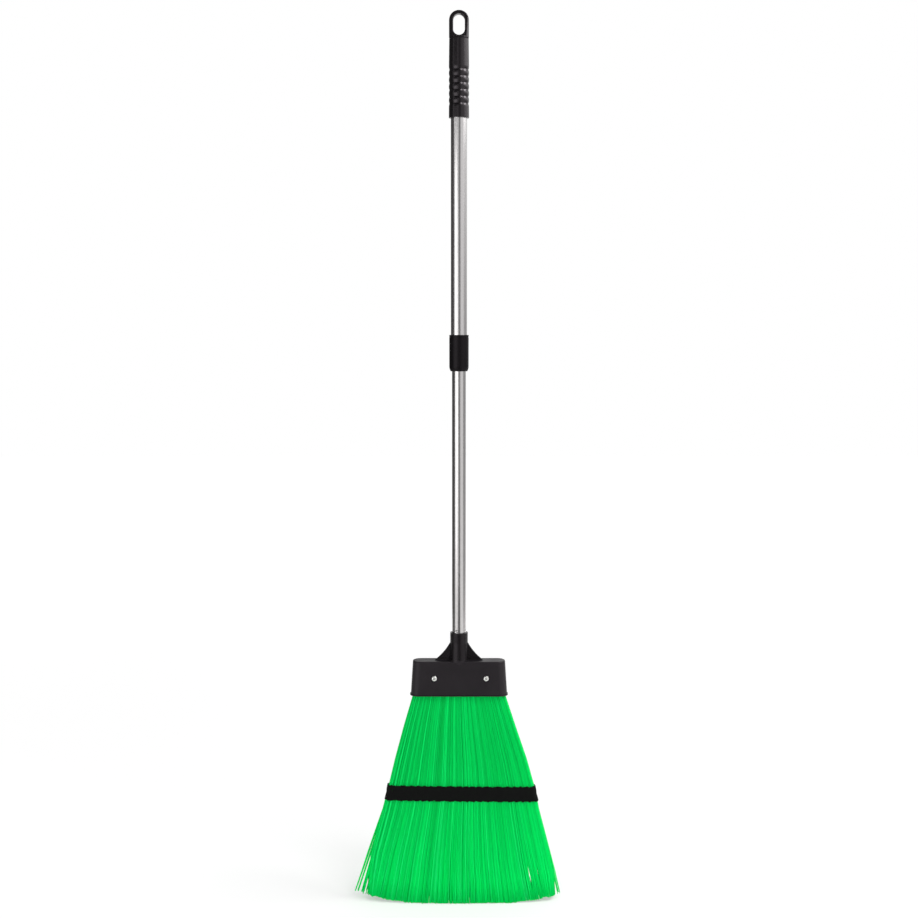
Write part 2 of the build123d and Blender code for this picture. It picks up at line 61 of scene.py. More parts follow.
def soft_light(name, place, aim, width, height, watts):
    """A rectangular soft box that faces a point."""
    bpy.ops.object.light_add(type="AREA", location=place)
    lamp = bpy.context.object
    lamp.name = name
    lamp.data.shape = "RECTANGLE"
    lamp.data.size = width
    lamp.data.size_y = height
    lamp.data.energy = watts
    lamp.rotation_euler = (Vector(aim) - Vector(place)).to_track_quat("-Z", "Y").to_euler()
    return lamp


soft_light("left_soft_box", (-1.25, -1.45, 0.725), aim=(0, 0, 0.725), width=1.25, height=1.03, watts=7.0)
soft_light("right_soft_box", (1.25, -0.2, 1.85), aim=(0, 0, 1.2), width=0.7, height=0.7, watts=16.5)
soft_light("high_soft_box", (1.0, -1.35, 2.55), aim=(0, 0, 0.3), width=0.8, height=0.8, watts=22)
low_box = soft_light("low_soft_box", (1.35, 0.02, 0.3), aim=(0, 0, 0.12), width=0.5, height=0.35, watts=3.5)
low_box.visible_glossy = False


def add_node(tree, kind, **settings):
    """A shader node with its settings."""
    made = tree.nodes.new(kind)
    for setting, value in settings.items():
        setattr(made, setting, value)
    return made


def blank_tree(owner):
    """The owner's node tree, with nothing in it."""
    owner.use_nodes = True
    owner.node_tree.nodes.clear()
    return owner.node_tree


def seen_as_background(tree):
    """1 for rays that show a surface to the eye, straight or by way of metal or glass."""
    path = add_node(tree, "ShaderNodeLightPath")
    straight = add_node(tree, "ShaderNodeMath", operation="MAXIMUM")
    either = add_node(tree, "ShaderNodeMath", operation="MAXIMUM")
    tree.links.new(path.outputs["Is Camera Ray"], straight.inputs[0])
    tree.links.new(path.outputs["Is Glossy Ray"], straight.inputs[1])
    tree.links.new(straight.outputs[0], either.inputs[0])
    tree.links.new(path.outputs["Is Transmission Ray"], either.inputs[1])
    return either.outputs[0]


studio.world = bpy.data.worlds.new("white_room")
room = blank_tree(studio.world)
room_fill = add_node(room, "ShaderNodeBackground")
room_fill.inputs["Color"].default_value = (1, 1, 1, 1)
room_fill.inputs["Strength"].default_value = 0.62
room_white = add_node(room, "ShaderNodeBackground")
room_white.inputs["Color"].default_value = (1, 1, 1, 1)
room_mix = add_node(room, "ShaderNodeMixShader")
room_out = add_node(room, "ShaderNodeOutputWorld")
room.links.new(seen_as_background(room), room_mix.inputs[0])
room.links.new(room_fill.outputs[0], room_mix.inputs[1])
room.links.new(room_white.outputs[0], room_mix.inputs[2])
room.links.new(room_mix.outputs[0], room_out.inputs[0])

bpy.ops.mesh.primitive_plane_add(size=14)
floor = bpy.context.object
floor.name = "floor"
floor_paint = bpy.data.materials.new("pale_floor")
floor_tree = blank_tree(floor_paint)
floor_bounce = add_node(floor_tree, "ShaderNodeBsdfDiffuse")
floor_bounce.inputs["Color"].default_value = (0.86, 0.86, 0.86, 1)
floor_spot = add_node(floor_tree, "ShaderNodeTexCoord")
floor_reach = add_node(floor_tree, "ShaderNodeVectorMath", operation="LENGTH")
floor_tone = add_node(floor_tree, "ShaderNodeMapRange")
floor_tone.inputs["From Min"].default_value = 0.2
floor_tone.inputs["From Max"].default_value = 3.5
floor_tone.inputs["To Min"].default_value = 0.56
floor_tone.inputs["To Max"].default_value = 0.95
floor_face = add_node(floor_tree, "ShaderNodeBsdfDiffuse")
floor_lift = add_node(floor_tree, "ShaderNodeEmission")
floor_lift.inputs["Strength"].default_value = 0.42
floor_sum = add_node(floor_tree, "ShaderNodeAddShader")
floor_mix = add_node(floor_tree, "ShaderNodeMixShader")
floor_out = add_node(floor_tree, "ShaderNodeOutputMaterial")
floor_tree.links.new(floor_spot.outputs["Object"], floor_reach.inputs[0])
floor_tree.links.new(floor_reach.outputs["Value"], floor_tone.inputs["Value"])
floor_tree.links.new(floor_tone.outputs["Result"], floor_face.inputs["Color"])
floor_tree.links.new(floor_face.outputs[0], floor_sum.inputs[0])
floor_tree.links.new(floor_lift.outputs[0], floor_sum.inputs[1])
floor_tree.links.new(seen_as_background(floor_tree), floor_mix.inputs[0])
floor_tree.links.new(floor_bounce.outputs[0], floor_mix.inputs[1])
floor_tree.links.new(floor_sum.outputs[0], floor_mix.inputs[2])
floor_tree.links.new(floor_mix.outputs[0], floor_out.inputs["Surface"])
floor.data.materials.append(floor_paint)


def hang_card(name, place, tilt, turn, width, height, low_glow, high_glow):
    """A card that only reflections show, whose glow changes from its middle to its head."""
    bpy.ops.mesh.primitive_plane_add(
        size=1, location=place, rotation=(math.radians(tilt), 0, math.radians(turn))
    )
    card = bpy.context.object
    card.name = name
    card.scale = (width, height, 1)
    paint = bpy.data.materials.new(name)
    tree = blank_tree(paint)
    spot = add_node(tree, "ShaderNodeTexCoord")
    split = add_node(tree, "ShaderNodeSeparateXYZ")
    level = add_node(tree, "ShaderNodeMapRange")
    level.inputs["From Min"].default_value = 0
    level.inputs["From Max"].default_value = 0.5
    level.inputs["To Min"].default_value = low_glow
    level.inputs["To Max"].default_value = high_glow
    face = add_node(tree, "ShaderNodeEmission")
    out = add_node(tree, "ShaderNodeOutputMaterial")
    tree.links.new(spot.outputs["Object"], split.inputs[0])
    tree.links.new(split.outputs["Y"], level.inputs["Value"])
    tree.links.new(level.outputs["Result"], face.inputs["Strength"])
    tree.links.new(face.outputs[0], out.inputs["Surface"])
    card.data.materials.append(paint)
    card.visible_camera = False
    card.visible_diffuse = False
    card.visible_shadow = False
    card.visible_transmission = False


for card_row in (
    # name, place, tilt, turn, width, height, low glow, high glow
    ("camera_card", (0.36, -2.6, 1.0), 90, 0, 1.27, 2.6, 0.3, 0.3),
    ("left_card", (-1.3, 0.75, 1.0), 90, 90, 2.3, 2.6, 0.1, 0.1),
    ("left_high_card", (-1.25, -1.45, 1.77), 90, -41, 1.4, 1.0, 0.18, 0.18),
    ("back_card", (-0.75, 1.9, 1.0), 90, 0, 1.1, 2.6, 0.06, 0.06),
    ("right_card", (1.3, 0.8, 0.72), 90, 90, 2.4, 1.2, 0.45, 1.1),
    ("right_high_card", (1.3, 0.15, 1.45), 90, 90, 1.4, 0.4, 2.5, 2.5),
    ("ceiling_card", (0, -1.8, 2.8), 0, 0, 4.4, 4.4, 0.04, 0.04),
    ("front_card", (0, -1.75, 0.003), 0, 0, 1.2, 1.7, 0.08, 0.08),
):
    hang_card(*card_row)


# Head cap: a shell of black polypropylene from one mould, with its neck and gussets in one piece with it.
# The mould was lightly spark-eroded for its walls, which leaves a fine satin grain, and polished for the neck.
# Neck and gussets are also painted darker: painted shade.
plastic_sheen = (1, 0.91, 0.97, 1)
cap_roof_z = 0.3414
cap_neck_z = 0.3434

grain = bpy.data.node_groups.new("moulded_grain", "ShaderNodeTree")
grain.interface.new_socket("Vector", in_out="INPUT", socket_type="NodeSocketVector")
for grain_value in ("Grain Size", "Dull", "Bright"):
    grain.interface.new_socket(grain_value, in_out="INPUT", socket_type="NodeSocketFloat")
for grain_result in ("Roughness", "Tone", "Height"):
    grain.interface.new_socket(grain_result, in_out="OUTPUT", socket_type="NodeSocketFloat")
grain_in = add_node(grain, "NodeGroupInput")
grain_out = add_node(grain, "NodeGroupOutput")
grain_pits = add_node(grain, "ShaderNodeTexNoise")
grain_pits.inputs["Detail"].default_value = 3
grain_flow = add_node(grain, "ShaderNodeTexNoise")
grain_flow.inputs["Scale"].default_value = 34
grain_flow.inputs["Detail"].default_value = 4
grain_spread = add_node(grain, "ShaderNodeMapRange")
grain_spread.inputs["From Min"].default_value = 0.35
grain_spread.inputs["From Max"].default_value = 0.65
grain.links.new(grain_in.outputs["Vector"], grain_pits.inputs["Vector"])
grain.links.new(grain_in.outputs["Grain Size"], grain_pits.inputs["Scale"])
grain.links.new(grain_in.outputs["Vector"], grain_flow.inputs["Vector"])
grain.links.new(grain_flow.outputs["Fac"], grain_spread.inputs["Value"])
grain.links.new(grain_in.outputs["Bright"], grain_spread.inputs["To Min"])
grain.links.new(grain_in.outputs["Dull"], grain_spread.inputs["To Max"])
grain.links.new(grain_spread.outputs["Result"], grain_out.inputs["Roughness"])
grain.links.new(grain_flow.outputs["Fac"], grain_out.inputs["Tone"])
grain.links.new(grain_pits.outputs["Fac"], grain_out.inputs["Height"])


def finish(name, **plain):
    """A material with one Principled shader, whose plain values are given by socket name."""
    paint = bpy.data.materials.new(name)
    tree = blank_tree(paint)
    shader = add_node(tree, "ShaderNodeBsdfPrincipled")
    out = add_node(tree, "ShaderNodeOutputMaterial")
    tree.links.new(shader.outputs[0], out.inputs["Surface"])
    for socket, value in plain.items():
        shader.inputs[socket.replace("_", " ")].default_value = value
    return paint, tree, shader


def moulded_plastic(name, dark, light, grain_size, bright, dull, depth, shine):
    """Moulded plastic in two close tones, with a satin grain."""
    paint, tree, shader = finish(name, Specular_IOR_Level=shine, Specular_Tint=plastic_sheen)
    place = add_node(tree, "ShaderNodeTexCoord")
    skin = add_node(tree, "ShaderNodeGroup", node_tree=grain)
    skin.inputs["Grain Size"].default_value = grain_size
    skin.inputs["Bright"].default_value = bright
    skin.inputs["Dull"].default_value = dull
    tone = add_node(tree, "ShaderNodeMix", data_type="RGBA")
    tone.inputs["A"].default_value = (*dark, 1)
    tone.inputs["B"].default_value = (*light, 1)
    bump = add_node(tree, "ShaderNodeBump")
    bump.inputs["Strength"].default_value = depth
    bump.inputs["Distance"].default_value = 0.0004
    tree.links.new(place.outputs["Object"], skin.inputs["Vector"])
    tree.links.new(skin.outputs["Tone"], tone.inputs["Factor"])
    tree.links.new(tone.outputs["Result"], shader.inputs["Base Color"])
    tree.links.new(skin.outputs["Roughness"], shader.inputs["Roughness"])
    tree.links.new(skin.outputs["Height"], bump.inputs["Height"])
    tree.links.new(bump.outputs["Normal"], shader.inputs["Normal"])
    return paint


def dress(node, paint):
    """Gives a CAD node its finish."""
    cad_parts[node].material_slots[0].material = paint


cap_plastic = moulded_plastic(
    "cap_plastic",
    dark=(0.0106, 0.0091, 0.0106),
    light=(0.0142, 0.0122, 0.0142),
    grain_size=1700,
    bright=0.35,
    dull=0.45,
    depth=0.14,
    shine=0.23,
)
cap_tree = cap_plastic.node_tree
# Above the roof the neck and gussets are smoother, and painted darker as painted shade.
cap_split = add_node(cap_tree, "ShaderNodeSeparateXYZ")
cap_polish_and_shade_zone = add_node(cap_tree, "ShaderNodeMapRange")
cap_polish_and_shade_zone.inputs["From Min"].default_value = cap_roof_z
cap_polish_and_shade_zone.inputs["From Max"].default_value = cap_neck_z
cap_tone_and_shade = add_node(cap_tree, "ShaderNodeMix", data_type="RGBA")
cap_tone_and_shade.inputs["B"].default_value = (0.0048, 0.004, 0.0046, 1)
cap_rough = add_node(cap_tree, "ShaderNodeMix")
cap_rough.inputs["B"].default_value = 0.27
cap_shader = cap_tree.nodes["Principled BSDF"]
cap_tree.links.new(cap_tree.nodes["Texture Coordinate"].outputs["Object"], cap_split.inputs[0])
cap_tree.links.new(cap_split.outputs["Z"], cap_polish_and_shade_zone.inputs["Value"])
cap_tree.links.new(cap_polish_and_shade_zone.outputs["Result"], cap_tone_and_shade.inputs["Factor"])
cap_tree.links.new(cap_polish_and_shade_zone.outputs["Result"], cap_rough.inputs["Factor"])
cap_tree.links.new(cap_tree.nodes["Mix"].outputs["Result"], cap_tone_and_shade.inputs["A"])
cap_tree.links.new(cap_tree.nodes["Group"].outputs["Roughness"], cap_rough.inputs["A"])
cap_tree.links.new(cap_tone_and_shade.outputs["Result"], cap_shader.inputs["Base Color"])
cap_tree.links.new(cap_rough.outputs["Result"], cap_shader.inputs["Roughness"])
dress("head_cap", cap_plastic)


# Bristles: thick green polypropylene filaments, cut flush at the tips and fused at their roots into a block.
# They fan out from the cap, are drawn in by the band, and splay again below it. The outer ones close into a
# curtain at front and back, a few stray at the two lower corners, and the bundle parts above some tips.
rim_z = 0.2924
root_z = 0.3044
band_z = 0.154
rim_half_width = 0.06345
tip_half_width = 0.144
fan_slope = 0.28574
fan_belly = 0.0021
fan_pinch, fan_pinch_z, fan_pinch_reach = 0.0008, 0.123, 0.016
fan_pull, fan_pull_z = 0.0035, 0.16
fan_pull_above, fan_pull_below = 0.075, 0.055
root_half_depth = 0.0096
waist_half_depth = 0.0126
tip_half_depth = 0.0256
end_thinning, end_taper = 0.5, 2.2
end_rounding = 0.92
filament_radius = 0.0006
filament_cuts = (0.06, 0.2, 0.36, 0.5, 0.6, 0.8, 0.9)

bpy.ops.object.select_all(action="DESELECT")
bpy.ops.mesh.primitive_cylinder_add(vertices=5, radius=1, depth=1, location=(0, 0, 0.5))
filament = bpy.context.object
bpy.ops.object.transform_apply(location=True)
bpy.ops.object.mode_set(mode="EDIT")
for cut in filament_cuts:
    bpy.ops.mesh.select_all(action="SELECT")
    bpy.ops.mesh.bisect(plane_co=(0, 0, cut), plane_no=(0, 0, 1))
bpy.ops.object.mode_set(mode="OBJECT")
filament_points = np.array([point.co for point in filament.data.vertices])
filament_faces = [list(face.vertices) for face in filament.data.polygons]
bpy.data.objects.remove(filament)

chance = np.random.default_rng(11)


def fan_half_width(z):
    """Half the width of the fan at a height, a little bellied above the band and drawn in just below it."""
    above = np.clip((z - band_z) / (root_z - band_z), 0, 1)
    belly = fan_belly * np.sin(np.pi * np.sqrt(above))
    pinch = fan_pinch * np.exp(-(((z - fan_pinch_z) / fan_pinch_reach) ** 2))
    return rim_half_width + fan_slope * (rim_z - z) + belly - pinch


def fan_half_depth(z, across):
    """Half the depth of the fan at a height, narrowest under the cap and thinner towards its two ends."""
    above = np.clip((z - band_z) / (root_z - band_z), 0, 1)
    below = np.clip((band_z - z) / band_z, 0, 1)
    narrowing = (root_half_depth - waist_half_depth) * above
    splay = (tip_half_depth - waist_half_depth) * below
    thinning = end_thinning * (1 - above) * abs(across) ** end_taper
    return (waist_half_depth + narrowing + splay) * (1 - thinning)


def fan_shift(z):
    """How far the fan has been pulled to the right by its band."""
    spread = np.where(z > fan_pull_z, fan_pull_above, fan_pull_below)
    return fan_pull * np.exp(-(((z - fan_pull_z) / spread) ** 2))


partings = (
    # place across, width
    (0.147, 0.0006),
    (0.725, 0.0019),
    (0.818, 0.0011),
)
parting_slant = 0.005
parting_reach = 0.016
parting_below, parting_length = 0.8, 0.1


def parting(across, deep, below):
    """How far a filament is pushed aside a little above the tips, where the bundle parts."""
    aside = 0
    for place, width in partings:
        beside = across - place * (1 - parting_slant * deep)
        aside += math.copysign(width * math.exp(-abs(beside) / parting_reach), beside)
    return aside * np.exp(-(((below - parting_below) / parting_length) ** 2))


tip_arc_shift = 0.05
tip_cut = 0.003
root_overlap = 0.003
right_bend, stray_bend, left_bend = 5, 3, 2.5


def lay_filament(across, root_deep, tip_deep, sway, lean_x, lean_y, rise):
    """The points of one filament, from its place in the root block to its place among the tips."""
    drop = filament_points[:, 2]
    reach = across + sway / tip_half_width - tip_arc_shift
    tip_z = max(rim_z * (1 - math.cos(math.atan(fan_slope * reach))) - tip_cut, 0) + rise
    top_z = root_z + root_overlap
    z = top_z + (tip_z - top_z) * drop
    below = np.clip((band_z - z) / band_z, 0, 1)
    half_width, half_depth = fan_half_width(z), fan_half_depth(z, across)
    end = np.clip((abs(across) - 1) * half_width / half_depth + 1, 0, 1)
    bend = right_bend if across > 0 else stray_bend if sway < 0 else left_bend
    x = across * half_width + fan_shift(z) + sway * below**bend
    x = x + parting(across, tip_deep, below) + lean_x * below
    deep = root_deep + (tip_deep - root_deep) * drop
    y = deep * half_depth * np.sqrt(1 - end_rounding * end**2) + lean_y * below**2
    turn = chance.uniform(0, 2 * math.pi)
    ring_x = filament_points[:, 0] * math.cos(turn) - filament_points[:, 1] * math.sin(turn)
    ring_y = filament_points[:, 0] * math.sin(turn) + filament_points[:, 1] * math.cos(turn)
    return np.stack([x + ring_x * filament_radius, y + ring_y * filament_radius, z], axis=1)


left_tuck, left_tuck_from, left_tuck_span = 0.019, 0.78, 0.22
right_tuck, right_tuck_from, right_tuck_span = 0.012, 0.8, 0.2


def tip_sway(across):
    """How far a tip is pushed in from the two lower corners."""
    from_left = left_tuck * max(-across - left_tuck_from, 0) / left_tuck_span
    from_right = right_tuck * max(across - right_tuck_from, 0) / right_tuck_span
    return from_left - from_right


face_rows = (
    # filaments, place in depth at the roots, place in depth at the tips
    (320, 0.88, 0.98),
    (240, 0.8, 0.945),
)
face_play, face_slack = 0.4, 0.012
thin_left, thin_right = -0.8, 0.9
loose_columns, loose_slack = 170, 0.015
fill_rows, fill_columns = 10, 100
fill_row_play, fill_column_play = 0.45, 0.42
fill_depth, fill_splay = 0.82, 1.1
stray_tufts = (
    # filaments, first place across, step across, places in depth, first sway, step of sway
    (5, -1.0, 0.005, (0.2, 0.6, -0.6), -0.0032, -0.0006),
    (5, -0.977, 0.005, (-0.5, 0.1, 0.5), -0.0026, -0.0006),
    (10, -0.955, 0.003, (-0.7, 0.5, -0.2), 0, 0),
    (5, -0.906, 0.003, (0.3, -0.6, 0.6), 0, 0),
    (5, 0.98, 0.005, (-0.6, 0.4, -0.1), -0.0036, 0),
    (5, 0.93, 0.005, (0.2, -0.5, 0.5), -0.003, 0),
)
layers = {"bristles_front": [], "bristles_middle": [], "bristles_back": []}
for side, face_layer in ((-1, "bristles_front"), (1, "bristles_back")):
    for face_columns, root_deep, row_deep in face_rows:
        for column in range(face_columns):
            across = (column + 0.5 + chance.uniform(-face_play, face_play)) / face_columns * 2 - 1
            tip_deep = row_deep - abs(chance.normal(0, face_slack))
            if column % 2 == 0 or thin_left < across < thin_right:
                layers[face_layer].append((across, side * root_deep, side * tip_deep, tip_sway(across)))
    for column in range(loose_columns):
        across = (column + chance.uniform()) / loose_columns * 2 - 1
        tip_deep = 1 - abs(chance.normal(0, loose_slack))
        layers[face_layer].append((across, side, side * tip_deep, tip_sway(across)))
for row in range(fill_rows):
    fill_layer = ("bristles_front", "bristles_middle", "bristles_back")[row * 3 // fill_rows]
    for column in range(fill_columns):
        place = column + 0.5 * (row % 2) + chance.uniform(-fill_column_play, fill_column_play)
        across = min(max(place / (fill_columns - 0.5) * 2 - 1, -1), 1)
        deep = fill_depth * ((row + 0.5 + chance.uniform(-fill_row_play, fill_row_play)) * 2 / fill_rows - 1)
        layers[fill_layer].append((across, deep, deep * fill_splay, tip_sway(across)))
for count, first_across, step_across, depths, first_sway, step_sway in stray_tufts:
    for stray in range(count):
        across, sway = first_across + step_across * stray, first_sway + step_sway * stray
        deep = depths[stray % len(depths)]
        layers["bristles_middle"].append((across, deep, deep, sway))

# A filament's tone runs from 0, deep green, to 1, pale green, and on to 2, a painted glint: a paler mint that
# stands in for a highlight.
bristle_green, bristle_tree, bristle_shader = finish(
    "bristle_green", Roughness=0.45, Specular_IOR_Level=0.04
)
bristle_tone = add_node(bristle_tree, "ShaderNodeAttribute", attribute_name="tone")
bristle_mix = add_node(bristle_tree, "ShaderNodeMix", data_type="RGBA")
bristle_mix.inputs["A"].default_value = (0.0004, 0.525, 0.072, 1)
bristle_mix.inputs["B"].default_value = (0.0005, 0.955, 0.17, 1)
bristle_painted_glint = add_node(bristle_tree, "ShaderNodeMapRange")
bristle_painted_glint.inputs["From Min"].default_value = 1
bristle_painted_glint.inputs["From Max"].default_value = 2
bristle_colour = add_node(bristle_tree, "ShaderNodeMix", data_type="RGBA")
bristle_colour.inputs["B"].default_value = (0.014, 1, 0.245, 1)
bristle_glow = add_node(bristle_tree, "ShaderNodeBsdfTranslucent")
bristle_blend = add_node(bristle_tree, "ShaderNodeMixShader")
bristle_blend.inputs[0].default_value = 0.2
bristle_out = bristle_tree.nodes["Material Output"]
bristle_tree.links.new(bristle_tone.outputs["Fac"], bristle_mix.inputs["Factor"])
bristle_tree.links.new(bristle_tone.outputs["Fac"], bristle_painted_glint.inputs["Value"])
bristle_tree.links.new(bristle_painted_glint.outputs["Result"], bristle_colour.inputs["Factor"])
bristle_tree.links.new(bristle_mix.outputs["Result"], bristle_colour.inputs["A"])
bristle_tree.links.new(bristle_colour.outputs["Result"], bristle_shader.inputs["Base Color"])
bristle_tree.links.new(bristle_colour.outputs["Result"], bristle_glow.inputs["Color"])
bristle_tree.links.new(bristle_shader.outputs[0], bristle_blend.inputs[1])
bristle_tree.links.new(bristle_glow.outputs[0], bristle_blend.inputs[2])
bristle_tree.links.new(bristle_blend.outputs[0], bristle_out.inputs["Surface"])

tuft_tones = chance.uniform(size=46)
strand_tones = chance.uniform(size=131)
filament_slack = (0.0004, 0.0006, 0.0006)
tuft_rise = 0.003
gloss_share, strand_share, tuft_share = 0.36, 0.46, 0.02
left_painted_light, left_pale_from, left_pale_span = 0.15, 0.88, 0.12
tip_painted_light = 0.65
painted_glint_from = 0.9
for layer_node, layer in layers.items():
    points, faces, tones = [], [], []
    for across, root_deep, tip_deep, sway in layer:
        first = len(faces) // len(filament_faces) * len(filament_points)
        tuft = np.interp(across, np.linspace(-1, 1, len(tuft_tones)), tuft_tones)
        lean_x, lean_y, rise = chance.normal(0, filament_slack)
        rise = abs(rise) + tuft_rise * abs(across) * tuft**2
        strand = lay_filament(across, root_deep, tip_deep, sway, lean_x, lean_y, rise)
        strand_tone = strand_tones[round((across + 1) * (len(strand_tones) - 1) / 2)]
        gloss = chance.uniform()
        pale = gloss_share * gloss + strand_share * strand_tone + tuft_share * tuft
        # Painted light: the filaments at the left end of the fan are painted paler.
        pale += left_painted_light * max(-across - left_pale_from, 0) / left_pale_span
        lower = np.clip(1 - strand[:, 2] / root_z, 0, 1)
        # Painted highlight: one filament in ten gets the paler mint glint colour, more of it towards the tips.
        glint = (gloss > painted_glint_from) * (0.5 + 0.5 * lower)
        points.append(strand)
        faces.extend([first + corner for corner in face] for face in filament_faces)
        # Painted light: each filament is painted paler towards its tip, where the fan is lit more brightly.
        tones.extend(np.clip(pale + tip_painted_light * lower**2, 0, 1) + glint)
    layer_name = layer_node.replace("bristles_", "") + "_bristles"
    layer_mesh = bpy.data.meshes.new(layer_name)
    layer_mesh.from_pydata(np.concatenate(points).tolist(), [], faces)
    layer_mesh.attributes.new("tone", "FLOAT", "POINT").data.foreach_set("value", tones)
    layer_mesh.shade_smooth()
    layer_mesh.materials.append(bristle_green)
    layer_piece = bpy.data.objects.new(layer_name, layer_mesh)
    studio.collection.objects.link(layer_piece)
    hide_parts(layer_node)
    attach(layer_piece, "lower_section")

root_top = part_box("bristles_middle")[1].z
root_width, root_depth, root_corner = 0.1226, 0.0213, 0.0088
bpy.ops.object.select_all(action="DESELECT")
bpy.ops.mesh.primitive_cube_add(size=1, location=(0, 0, (root_z + root_top) / 2))
bristle_root = bpy.context.object
bristle_root.name = "bristle_root"
bristle_root.scale = (root_width, root_depth, root_top - root_z)
bpy.ops.object.transform_apply(location=True, scale=True)
for edge in bristle_root.data.edges:
    ends = [bristle_root.data.vertices[corner].co for corner in edge.vertices]
    edge.select = abs(ends[0].z - ends[1].z) > 0.01
bpy.ops.object.mode_set(mode="EDIT")
bpy.ops.mesh.select_mode(type="EDGE")
bpy.ops.mesh.bevel(offset=root_corner, segments=6)
bpy.ops.object.mode_set(mode="OBJECT")
bristle_root.data.attributes.new("tone", "FLOAT", "POINT")
bristle_root.data.materials.append(bristle_green)
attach(bristle_root, "lower_section")


# Head screws: two zinc-plated pan-head screws with a cross recess, driven through the cap's front wall.
# The plating is bright, with the fine marks of the die that formed the heads, and the cross recess is painted
# dark as painted shade.
screws_middle = (0.0017, -0.0172, 0.3177)
screw_off_middle = (0.036, 0, 0)
recess_reach, head_reach = 0.0014, 0.0022
screw_zinc, screw_tree, screw_shader = finish("screw_zinc", Metallic=1.0)
screw_place = add_node(screw_tree, "ShaderNodeTexCoord")
screw_marks = add_node(screw_tree, "ShaderNodeTexNoise")
screw_marks.inputs["Scale"].default_value = 900
screw_rough = add_node(screw_tree, "ShaderNodeMapRange")
screw_rough.inputs["To Min"].default_value = 0.3
screw_rough.inputs["To Max"].default_value = 0.45
screw_tree.links.new(screw_place.outputs["Object"], screw_marks.inputs["Vector"])
screw_tree.links.new(screw_marks.outputs["Fac"], screw_rough.inputs["Value"])
screw_tree.links.new(screw_rough.outputs["Result"], screw_shader.inputs["Roughness"])
screw_from = add_node(screw_tree, "ShaderNodeVectorMath", operation="SUBTRACT")
screw_from.inputs[1].default_value = screws_middle
screw_pair = add_node(screw_tree, "ShaderNodeVectorMath", operation="ABSOLUTE")
screw_reach = add_node(screw_tree, "ShaderNodeVectorMath", operation="DISTANCE")
screw_reach.inputs[1].default_value = screw_off_middle
# Painted shade: the zinc is painted dark inside the cross recess, where shade falls.
screw_recess_shade = add_node(screw_tree, "ShaderNodeMapRange")
screw_recess_shade.inputs["From Min"].default_value = recess_reach
screw_recess_shade.inputs["From Max"].default_value = head_reach
screw_tone = add_node(screw_tree, "ShaderNodeMix", data_type="RGBA")
screw_tone.inputs["A"].default_value = (0.1, 0.1, 0.095, 1)
screw_tone.inputs["B"].default_value = (0.88, 0.88, 0.85, 1)
screw_tree.links.new(screw_place.outputs["Object"], screw_from.inputs[0])
screw_tree.links.new(screw_from.outputs["Vector"], screw_pair.inputs[0])
screw_tree.links.new(screw_pair.outputs["Vector"], screw_reach.inputs[0])
screw_tree.links.new(screw_reach.outputs["Value"], screw_recess_shade.inputs["Value"])
screw_tree.links.new(screw_recess_shade.outputs["Result"], screw_tone.inputs["Factor"])
screw_tree.links.new(screw_tone.outputs["Result"], screw_shader.inputs["Base Color"])
dress("head_screws", screw_zinc)


# Webbing band: a strap of black woven polypropylene, drawn round the fan and lapped over itself at the back.
# Its selvedges are lightly scalloped where the weft turns, and it sits a little lower at its two ends.
strap_height = 0.0211
strap_gap = 0.0011
strap_thickness = 0.0014
strap_lap, strap_lap_ramp, strap_lap_gap = 0.040, 0.006, 0.0002
strap_drop, strap_tilt, strap_sag = 0.0004, 0.01, 0.12
strap_end_place = 0.95
strap_face_points, strap_bend_points = 161, 25
long_scallop, long_pitch, long_drift = 0.0005, 0.0018, 0.011
short_scallop, short_pitch = 0.0003, 0.00075
strap_spare = filament_radius + strap_gap
strap_wide = float(fan_half_width(band_z)) + strap_spare
strap_end = float(fan_half_depth(band_z, strap_end_place)) + strap_spare

strap_run = np.linspace(1, -1, strap_face_points)
strap_middle = strap_face_points // 2
strap_turn = np.linspace(0, math.pi, strap_bend_points)[1:-1]
strap_deep = fan_half_depth(band_z, strap_run * (strap_wide - strap_end) / strap_wide) + strap_spare
strap_face = np.stack([-strap_run * (strap_wide - strap_end), strap_deep], axis=1)
strap_bend_x = strap_wide - strap_end + strap_end * np.sin(strap_turn)
strap_bend = np.stack([strap_bend_x, strap_deep[0] * np.cos(strap_turn)], axis=1)
strap_half = np.concatenate([strap_face, strap_bend])
strap_loop = np.concatenate([strap_half[strap_middle:], -strap_half, strap_half[: strap_middle + 1]])
strap_steps = np.concatenate([[0], np.cumsum(np.hypot(*np.diff(strap_loop, axis=0).T))])
strap_round = strap_steps[-1]

bpy.ops.object.select_all(action="DESELECT")
bpy.ops.mesh.primitive_grid_add(x_subdivisions=640, y_subdivisions=8, size=1)
strap = bpy.context.object
strap.name = "webbing_band"
for point in strap.data.vertices:
    run, rise = point.co.x + 0.5, point.co.y
    along = run * (strap_round + strap_lap) - strap_lap / 2
    z = band_z - strap_drop + rise * strap_height
    over = (along - strap_round + strap_lap / 2 + strap_lap_ramp) / strap_lap_ramp
    lift = min(max(over, 0), 1) * (strap_thickness + strap_lap_gap)
    x = np.interp(along % strap_round, strap_steps, strap_loop[:, 0])
    y = np.interp(along % strap_round, strap_steps, strap_loop[:, 1]) + lift
    x *= (float(fan_half_width(z)) + strap_spare) / strap_wide
    wave = long_scallop * math.sin(along / long_pitch + 2 * math.sin(along / long_drift) + 3 * rise)
    scallop = wave + short_scallop * math.sin(along / short_pitch + 4 * rise)
    sink = strap_tilt * x + strap_sag * x**2
    point.co = (x + float(fan_shift(band_z)), y, z + scallop * abs(rise) * 2 - sink)
strap.data.update()
bpy.ops.object.modifier_add(type="SOLIDIFY")
strap.modifiers[-1].thickness = strap_thickness
strap.modifiers[-1].offset = 0
bpy.ops.object.modifier_apply(modifier=strap.modifiers[-1].name)
bpy.ops.object.shade_smooth_by_angle(angle=math.radians(50))

